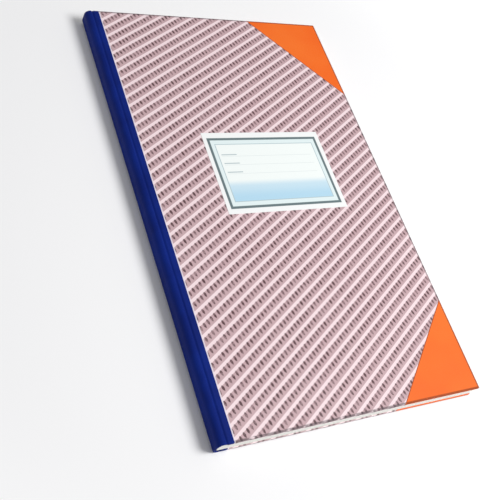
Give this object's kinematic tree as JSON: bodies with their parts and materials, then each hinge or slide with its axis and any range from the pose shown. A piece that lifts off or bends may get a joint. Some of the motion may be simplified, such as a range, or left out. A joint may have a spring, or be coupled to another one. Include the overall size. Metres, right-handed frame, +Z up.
{
  "type": "register book",
  "caption": "Foolscap register book: stiff boards in printed paper, cloth spine and corners, sewn pages and a blank name label on the front cover.",
  "frame": {"origin": "under the middle of the closed book, on the underside of the back cover", "axes": "+Z up through the front cover, +Y towards the head of the pages, +X from the spine towards the fore-edge"},
  "size_m": [0.199, 0.33, 0.0134],
  "materials": {
    "blue_cloth": "glazed woven book cloth",
    "cover_paper": "printed and varnished cover paper with rows of short dashes",
    "orange_cloth": "smooth coated book cloth",
    "grey_board": "bare grey board",
    "label_paper": "smooth printed label paper",
    "end_paper": "plain endpaper",
    "page_paper": "uncoated ruled writing paper",
    "gauze": "open starched gauze",
    "kraft_paper": "brown kraft paper",
    "thread": "waxed cotton thread"
  },
  "bodies": {
    "back_cover": {"back_board": "grey_board", "back_cover_paper": "cover_paper", "back_band_cloth": "blue_cloth", "back_corner_head": "orange_cloth", "back_corner_tail": "orange_cloth", "back_mull_flange": "gauze", "back_pastedown": "end_paper", "back_joint_cloth": "blue_cloth", "back_flyleaf": "end_paper", "section_1": "page_paper", "thread_1": "thread"},
    "spine": {"spine_cloth": "blue_cloth", "spine_card": "grey_board", "spine_lining": "kraft_paper", "spine_mull": "gauze"},
    "section_2": {"section_2": "page_paper", "thread_2": "thread"},
    "section_3": {"section_3": "page_paper", "thread_3": "thread"},
    "section_4": {"section_4": "page_paper", "thread_4": "thread"},
    "front_block": {"section_8": "page_paper", "thread_8": "thread", "front_endpaper_strip": "end_paper", "front_joint_cloth": "blue_cloth"},
    "section_5": {"section_5": "page_paper", "thread_5": "thread"},
    "section_6": {"section_6": "page_paper", "thread_6": "thread"},
    "section_7": {"section_7": "page_paper", "thread_7": "thread"},
    "front_flyleaf": {"front_flyleaf": "end_paper"},
    "front_cover": {"front_board": "grey_board", "front_cover_paper": "cover_paper", "front_band_cloth": "blue_cloth", "front_corner_head": "orange_cloth", "front_corner_tail": "orange_cloth", "front_mull_flange": "gauze", "front_pastedown": "end_paper", "front_label": "label_paper"}
  },
  "joints": [
    {"name": "opening", "type": "hinge", "parent": "back_cover", "child": "spine", "pos_m": [-0.0995, 0, 0], "axis": [0, -1, 0], "range_deg": [0, 90]},
    {"name": "front_half", "type": "hinge", "parent": "spine", "child": "front_block", "pos_m": [-0.0995, 0, 0.01324], "axis": [0, -1, 0], "range_deg": [0, 90]},
    {"name": "cover_hinge", "type": "hinge", "parent": "front_block", "child": "front_cover", "pos_m": [-0.0943, 0, 0.01339], "axis": [0, -1, 0], "range_deg": [0, 179]},
    {"name": "flyleaf_hinge", "type": "hinge", "parent": "front_block", "child": "front_flyleaf", "pos_m": [-0.09162, 0, 0.01063], "axis": [0, -1, 0], "range_deg": [0, 116.35]},
    {"name": "section_2_shift", "type": "slide", "parent": "back_cover", "child": "section_2", "axis": [-1, 0, 0], "range_m": [0, 0.00267]},
    {"name": "section_3_shift", "type": "slide", "parent": "back_cover", "child": "section_3", "axis": [-1, 0, 0], "range_m": [0, 0.00533]},
    {"name": "section_4_shift", "type": "slide", "parent": "back_cover", "child": "section_4", "axis": [-1, 0, 0], "range_m": [0, 0.008]},
    {"name": "section_5_shift", "type": "slide", "parent": "front_block", "child": "section_5", "axis": [-1, 0, 0], "range_m": [0, 0.008]},
    {"name": "section_6_shift", "type": "slide", "parent": "front_block", "child": "section_6", "axis": [-1, 0, 0], "range_m": [0, 0.00533]},
    {"name": "section_7_shift", "type": "slide", "parent": "front_block", "child": "section_7", "axis": [-1, 0, 0], "range_m": [0, 0.00267]}
  ],
  "couplings": [
    {"joint": "front_half", "follows": "opening", "ratio": 1},
    {"joint": "flyleaf_hinge", "follows": "cover_hinge", "ratio": 0.65},
    {"joint": "section_2_shift", "follows": "opening", "m_per_rad": 0.0016979},
    {"joint": "section_3_shift", "follows": "opening", "m_per_rad": 0.0033951},
    {"joint": "section_4_shift", "follows": "opening", "m_per_rad": 0.0050929},
    {"joint": "section_5_shift", "follows": "opening", "m_per_rad": 0.0050929},
    {"joint": "section_6_shift", "follows": "opening", "m_per_rad": 0.0033951},
    {"joint": "section_7_shift", "follows": "opening", "m_per_rad": 0.0016979}
  ]
}
